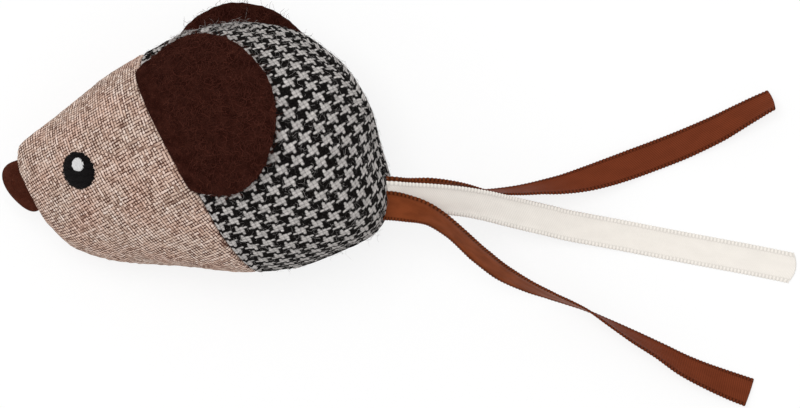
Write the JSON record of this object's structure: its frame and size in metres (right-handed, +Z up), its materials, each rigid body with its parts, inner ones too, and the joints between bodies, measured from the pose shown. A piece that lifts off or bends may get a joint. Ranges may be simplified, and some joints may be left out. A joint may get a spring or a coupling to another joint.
{
  "type": "catnip mouse",
  "caption": "Stuffed cloth mouse for a cat, lying on its side: linen head, houndstooth wool body, felt ears and nose, stitched eyes and a tail of satin ribbons.",
  "frame": {"origin": "on the surface that the toy lies on, under the middle of the box round head, body, ears and nose", "axes": "+X from the nose towards the tail, +Y towards the mouse's back, +Z up, out of its left side"},
  "size_m": [0.1711, 0.0869, 0.0483],
  "materials": {
    "linen": "matte heathered plain weave",
    "houndstooth_wool": "matte brushed wool, black and pale grey houndstooth",
    "fibre_stuffing": "loose white polyester fibre",
    "muslin": "matte plain weave",
    "ear_felt": "matte dark brown felt",
    "nose_felt": "matte brown felt",
    "black_thread": "satin stitch embroidery thread",
    "white_thread": "satin stitch embroidery thread",
    "brown_satin": "satin ribbon",
    "cream_satin": "satin ribbon"
  },
  "bodies": {
    "body": {"head_panel_left": "linen", "head_panel_right": "linen", "body_panel_left": "houndstooth_wool", "body_panel_right": "houndstooth_wool", "stuffing_front": "fibre_stuffing", "stuffing_rear": "fibre_stuffing", "catnip_sachet": "muslin", "ear_left_root": "ear_felt", "ear_right_root": "ear_felt", "nose_root": "nose_felt", "eye_left": "black_thread", "eye_right": "black_thread", "eye_left_glint": "white_thread", "eye_right_glint": "white_thread", "ribbon_upper_root": "brown_satin", "ribbon_cream_root": "cream_satin", "ribbon_lower_root": "brown_satin"},
    "ear_left": {"ear_left": "ear_felt"},
    "ear_right": {"ear_right": "ear_felt"},
    "nose": {"nose_tab": "nose_felt"},
    "ribbon_upper": {"ribbon_upper_tip": "brown_satin"},
    "ribbon_cream": {"ribbon_cream_tip": "cream_satin"},
    "ribbon_lower": {"ribbon_lower_tip": "brown_satin"}
  },
  "joints": [
    {"name": "ear_left_lift", "type": "hinge", "parent": "body", "child": "ear_left", "pos_m": [-0.0084, 0.00376, 0.03655], "axis": [0.3482, -0.8915, 0.2897], "range_deg": [0, 75]},
    {"name": "ear_right_lift", "type": "hinge", "parent": "body", "child": "ear_right", "pos_m": [0.00966, 0.01409, 0.0015], "axis": [0.9983, -0.0576, 0], "range_deg": [0, 40]},
    {"name": "nose_bend", "type": "hinge", "parent": "body", "child": "nose", "pos_m": [-0.03691, -0.01064, 0.01103], "axis": [-0.453, 0.8836, 0.1185], "range_deg": [-25, 25], "stiffness_Nm_per_rad": 0.002},
    {"name": "ribbon_upper_swing", "type": "hinge", "parent": "body", "child": "ribbon_upper", "pos_m": [0.06332, -0.01123, 0.01307], "axis": [0.4774, -0.0144, 0.8786], "range_deg": [0, 25]},
    {"name": "ribbon_cream_lift", "type": "hinge", "parent": "body", "child": "ribbon_cream", "pos_m": [0.05726, -0.01434, 0.01749], "axis": [-0.1746, -0.9846, -0.0074], "range_deg": [0, 45]},
    {"name": "ribbon_lower_lift", "type": "hinge", "parent": "body", "child": "ribbon_lower", "pos_m": [0.04475, -0.01493, 0.02403], "axis": [-0.104, -0.9681, -0.228], "range_deg": [0, 40]}
  ]
}
